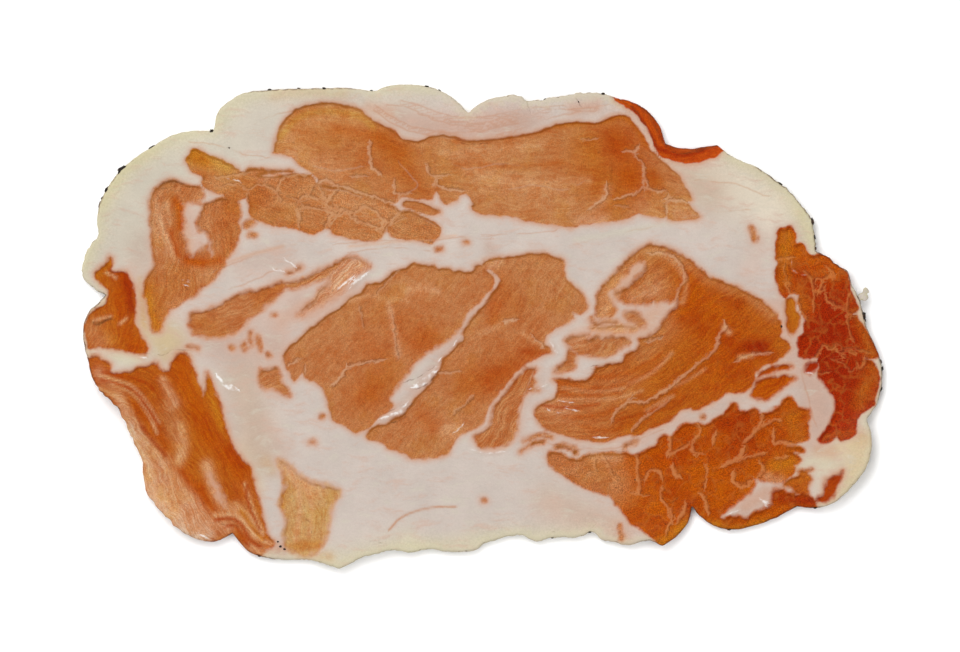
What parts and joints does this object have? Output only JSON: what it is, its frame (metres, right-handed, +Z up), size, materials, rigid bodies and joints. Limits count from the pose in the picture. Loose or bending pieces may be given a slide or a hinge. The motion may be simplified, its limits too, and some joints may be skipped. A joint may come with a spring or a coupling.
{
  "type": "coppa slice",
  "caption": "Thin oval slice of dry-cured pork neck, marbled, lying flat with its rim lifting slightly.",
  "frame": {"origin": "on the surface that the slice lies on, under the middle of its box", "axes": "+X along the slice's long side, +Y across it, +Z up out of the cut face that shows"},
  "size_m": [0.12, 0.0726, 0.0035],
  "materials": {
    "meat": "moist lean and fat with a satin gloss"
  },
  "bodies": {
    "root": {"slice": "meat"}
  },
  "joints": []
}
